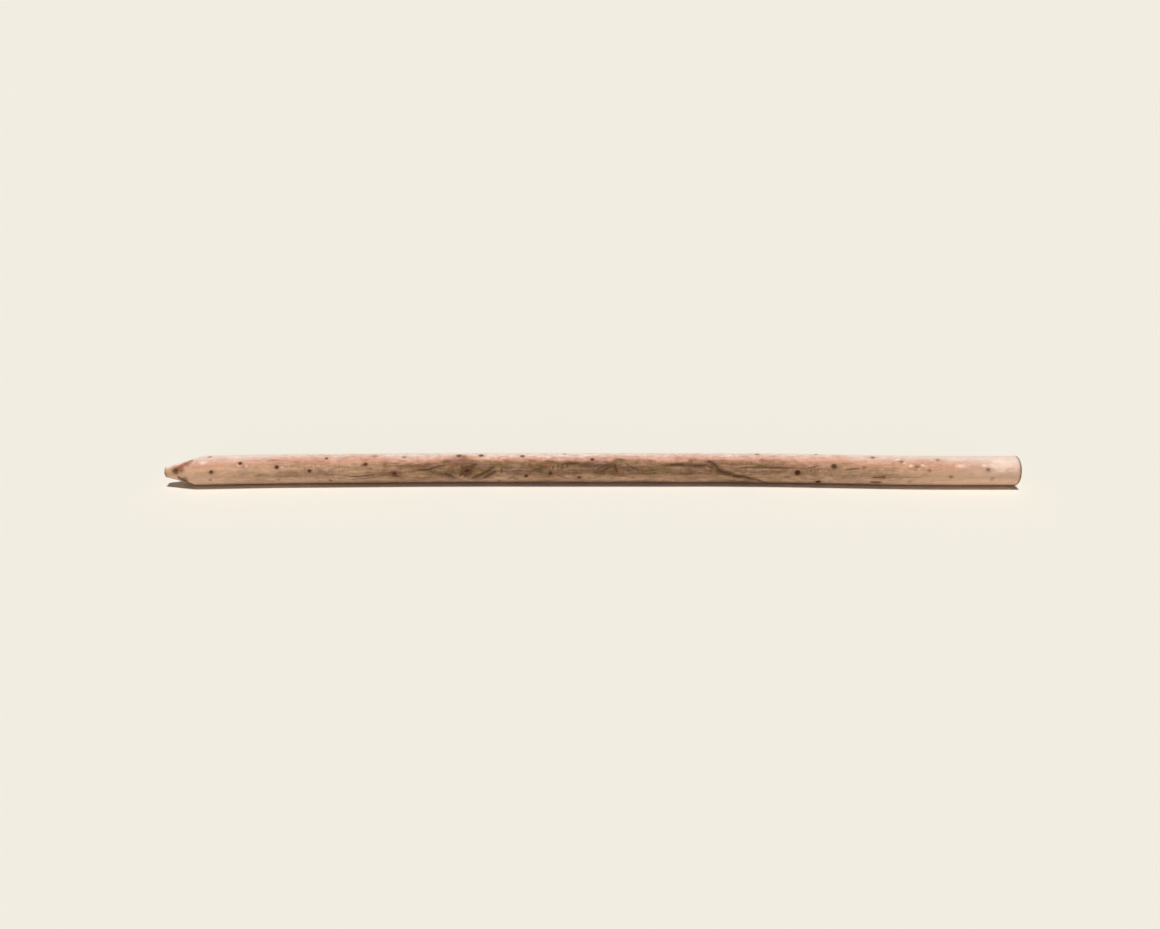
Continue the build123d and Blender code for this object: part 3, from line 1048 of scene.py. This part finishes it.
shaken = maths("ADD", swing(streaky, 0.5), swing(fine, 0.4))
line_vector = add_node(net, "SeparateXYZ", {0: read("lines", "Vector")}).outputs
gap_vector = add_node(net, "SeparateXYZ", {0: read("line_gaps", "Vector")}).outputs
broken = spread(mottle, 0.32, 0.5, 0.6, 1.0)
for channel in "XYZ":
    aside = maths("ADD", line_vector[channel], shaken)
    slow_edge = spread(aside, -line_fringe, 0.2, 0.0, 0.95)
    sharp_edge = spread(aside, 0.3, 1.6, 1.0, 0.0)
    near = spread(gap_vector[channel], 0.0015, 0.003, 1.0, 0.0)
    inked = maths("MULTIPLY", maths("MULTIPLY", slow_edge, sharp_edge), near)
    wood = lay_over(maths("MULTIPLY", inked, broken), wood, line_brown)
print("marks: three kinds of spots and", line_sets, "sets of lines")

# %% [markdown]
# Last come the stains of knots, the grey tip, the end grain, the darker sawn rim, and the bark's brown,
# which is also painted shade in the split and the checks. The sawn head shows its rings, a dark pith, and
# pale and dark sweeps of the saw.

# %% Stains and ends
halo_brown, tight_brown = (122, 80, 52), (126, 78, 48)
end_early, end_late, end_slow_year = (226, 186, 152), (150, 106, 74), (160, 112, 78)
end_heart, end_pith = (146, 98, 66), (84, 52, 34)
grey_wood, rim_dark, bark_and_shade_brown = (158, 133, 119), (84, 62, 54), (84, 55, 37)
sweep_scale = (0.0, 30.0, 400.0)


def stained(under, name, colour, least, most, low=0.3, high=0.6):
    """Lays a stain over a colour where the mesh has that number, from least to most by the mottles."""
    amount = maths("MULTIPLY", read(name), spread(mottle, low, high, least, most))
    return lay_over(amount, under, colour)


wood = stained(wood, "halo", halo_brown, 0.3, 0.9, 0.35, 0.65)
wood = stained(wood, "tight", tight_brown, 0.4, 0.8)

sawn = {"Vector": grain_vector, "Rotation": (saw_turn, 0.0, 0.0), "Scale": sweep_scale}
sweep_place = add_node(net, "Mapping", sawn).outputs[0]
sweeps = add_node(net, "TexNoise", {"Vector": sweep_place, "Scale": 1.0, "Detail": 2.0}).outputs["Fac"]
rings_out = maths("MULTIPLY_ADD", clouds, 3.0, read("growth"))
slow_years = maths("PINGPONG", rings_out, 2.0)
ended = lay_over(late, end_early, end_late)
ended = lay_over(spread(slow_years, 0.6, 1.8, 0.0, 0.4), ended, end_slow_year)
ended = lay_over(spread(rings_out, 9.0, 12.0, 0.6, 0.0), ended, end_heart)
ended = lay_over(spread(rings_out, 1.9, 3.2, 0.9, 0.0), ended, end_pith)
swept = spread(sweeps, 0.3, 0.7, 0.82, 1.15)
ended = add_node(net, "HueSaturation", {"Color": ended, "Value": swept}).outputs["Color"]
wood = lay_over(spread(read("end_grain"), 0.2, 0.8, 0.0, 0.9), wood, ended)
# Grey over the tip, most of all on its lower side.
wood = stained(wood, "grey_on_tip", grey_wood, 0.55, 0.85)
# Darker at the sawn rim.
wood = stained(wood, "rim_darkening", rim_dark, 0.5, 0.95)
# Bark brown over the knot rings, and as painted shade in the split and the checks.
wood = lay_over(read("bark_and_crack_shade"), wood, bark_and_shade_brown)
net.links.new(wood, pole_surface.inputs["Base Color"])
print("stains and ends laid over")

# %% [markdown]
# Bare wood is dull. Its roughness follows the fine fibres, and fibres and streaks lift the surface by a
# fraction of a millimetre, which is too little for the mesh and right for a bump.

# %% Roughness and bump of the wood
fibre_lift = 0.0006
bump_strength = 0.6

net.links.new(spread(fine, 0.3, 0.75, 0.58, 0.82), pole_surface.inputs["Roughness"])
pole_surface.inputs["Specular IOR Level"].default_value = 0.25
fibre_height = maths("MULTIPLY_ADD", fine, 0.5, streaky)
lifted = {"Height": fibre_height, "Strength": bump_strength, "Distance": fibre_lift}
net.links.new(add_node(net, "Bump", lifted).outputs[0], pole_surface.inputs["Normal"])
print("pole finish:", len(net.nodes), "nodes")

# %% [markdown]
# ## The knots
#
# Each knot is a closed plug: a slightly sunk, cracked face with rings of its own, sides that lean and
# taper into its pocket, and a flat seat. Its rows run from the middle of the face over the rim and down
# to the middle of the seat. For its colour, each point knows its place, and how near the rim it is. In
# a pale knot that counts less along the stem than across it, so that its core becomes long and thin.

# %% Knot plugs
knot_columns = 36
face_rows = 8
side_rows = 3
seat_rows = 2
knot_reach = 0.98 * knot_depth
knot_dish = 0.0006
knot_crack = 0.0007
knot_below_flush = 0.0002
cracks_each = 4
core_longer = 0.35
knot_material, knot_net, knot_surface = new_material("dead_knot")

turn = np.arange(knot_columns) * 2 * np.pi / knot_columns
face = np.linspace(0, 1, face_rows + 1)[1:]
side = np.linspace(0, 1, side_rows + 1)[1:]
seat = np.linspace(1, 0, seat_rows + 1)[1:-1]
share = np.concatenate([face, 1 - (1 - pocket_taper) * side, pocket_taper * seat])[:, None]
depth = np.concatenate([np.zeros(face_rows), side, np.ones(len(seat))])[:, None] * knot_reach
face_share = np.concatenate([face, np.ones(side_rows + len(seat))])[:, None]
leaned = math.tan(knot_lean)
for index, name in enumerate(knot_names):
    out_share = knot_outline(index, turn)[None] * share
    along = knot_along[index] + out_share * np.cos(turn) - depth * leaned
    radius_here = turned_radius(knot_along[index], knot_around[index])
    around = knot_around[index] + out_share * np.sin(turn) / radius_here
    cracked = np.zeros(knot_columns)
    cracked[rng.choice(knot_columns, cracks_each, replace=False)] = rng.uniform(0.5, 1.0, cracks_each)
    crack = cracked * np.sin(np.pi * face_share)
    sunk = knot_dish * (1 - face_share**2) + knot_crack * crack + knot_below_flush
    out = turned_radius(along, around) - depth - sunk
    top = on_stem(knot_along[index], knot_around[index], radius_here - knot_dish - knot_below_flush)
    base = on_stem(knot_along[index] - knot_reach * leaned, knot_around[index], radius_here - knot_reach)
    points = np.vstack([top[None], on_stem(along, around, out).reshape(-1, 3), base[None]])
    faces = closed_skin(len(share), knot_columns)
    knot = make_piece(f"dead_{name}", points, faces, knot_material, name)
    spot = np.stack([out_share * np.cos(turn), out_share * np.sin(turn), depth + 0 * out_share], axis=-1)
    paleness = knot_shade[index]
    flatter = np.hypot(np.cos(turn) * (1 - core_longer * paleness), np.sin(turn) * (1 + paleness))
    rim = (face_share * flatter).ravel()
    add_attribute(knot, "spot", np.vstack([np.zeros((1, 3)), spot.reshape(-1, 3), [[0.0, 0.0, knot_depth]]]))
    add_attribute(knot, "rim", np.concatenate([[0.0], rim, [1.0]]))
    add_attribute(knot, "crack", np.concatenate([[0.3], crack.ravel(), [0.0]]))
    add_attribute(knot, "shade", np.full(len(points), paleness))
print(f"knots: {len(knot_names)} plugs of {len(points)} points")

# %% [markdown]
# A dead knot is darkest in the middle. Rings run round it, shaken by blots of resin, and its cracks are
# painted nearly black, as shade in them. A pale knot is only a little browner than the wood, with a long
# thin core. One finish serves them all, because the shade of each knot is a number on its own mesh.

# %% Knot finish
knot_rings_each = 4.5
blot_scale, sprawl_scale = 520.0, 210.0
blots_warp, sprawl_warp = 0.6, 0.3
rotten_core, sound_core = (58, 26, 13), (160, 116, 84)
rotten_outside, sound_outside = (124, 82, 54), (212, 170, 138)
knot_bark, crack_shade_brown = (70, 44, 28), (40, 20, 12)
ring_lift = 0.0003
ring_bump = 0.4

net = knot_net
spot_vector = read("spot", "Vector")
shade = read("shade")
blots = add_node(net, "TexNoise", {"Vector": spot_vector, "Scale": blot_scale, "Detail": 4.0}).outputs["Fac"]
sprawl = add_node(net, "TexNoise", {"Vector": spot_vector, "Scale": sprawl_scale, "Detail": 2.0})
warped = maths("MULTIPLY_ADD", blots, blots_warp, read("rim"))
warped = maths("ADD", swing(sprawl.outputs["Fac"], sprawl_warp), warped)
knot_rings = maths("PINGPONG", maths("MULTIPLY", warped, knot_rings_each), 1.0)
outside = lay_over(spread(shade, 0.0, 0.6), rotten_outside, sound_outside)
core = lay_over(shade, rotten_core, sound_core)
knot_colour = lay_over(spread(warped, 0.6, 1.15), core, outside)
ringed = maths("MULTIPLY", spread(knot_rings, 0.35, 0.9, 0.0, 0.6), spread(shade, 0.1, 0.6, 1.0, 0.35))
knot_colour = lay_over(ringed, knot_colour, core)
barked = maths("MULTIPLY", spread(warped, 1.2, 1.45, 0.0, 0.75), spread(shade, 0.1, 0.6, 1.0, 0.1))
knot_colour = lay_over(barked, knot_colour, knot_bark)
# Painted shade in the cracks of the knot.
knot_colour = lay_over(spread(read("crack"), 0.3, 0.9, 0.0, 0.8), knot_colour, crack_shade_brown)
net.links.new(knot_colour, knot_surface.inputs["Base Color"])
knot_surface.inputs["Specular IOR Level"].default_value = 0.08
net.links.new(spread(blots, 0.3, 0.7, 0.55, 0.85), knot_surface.inputs["Roughness"])
lifted = {"Height": knot_rings, "Strength": ring_bump, "Distance": ring_lift}
net.links.new(add_node(net, "Bump", lifted).outputs[0], knot_surface.inputs["Normal"])
print("knot finish:", len(net.nodes), "nodes")
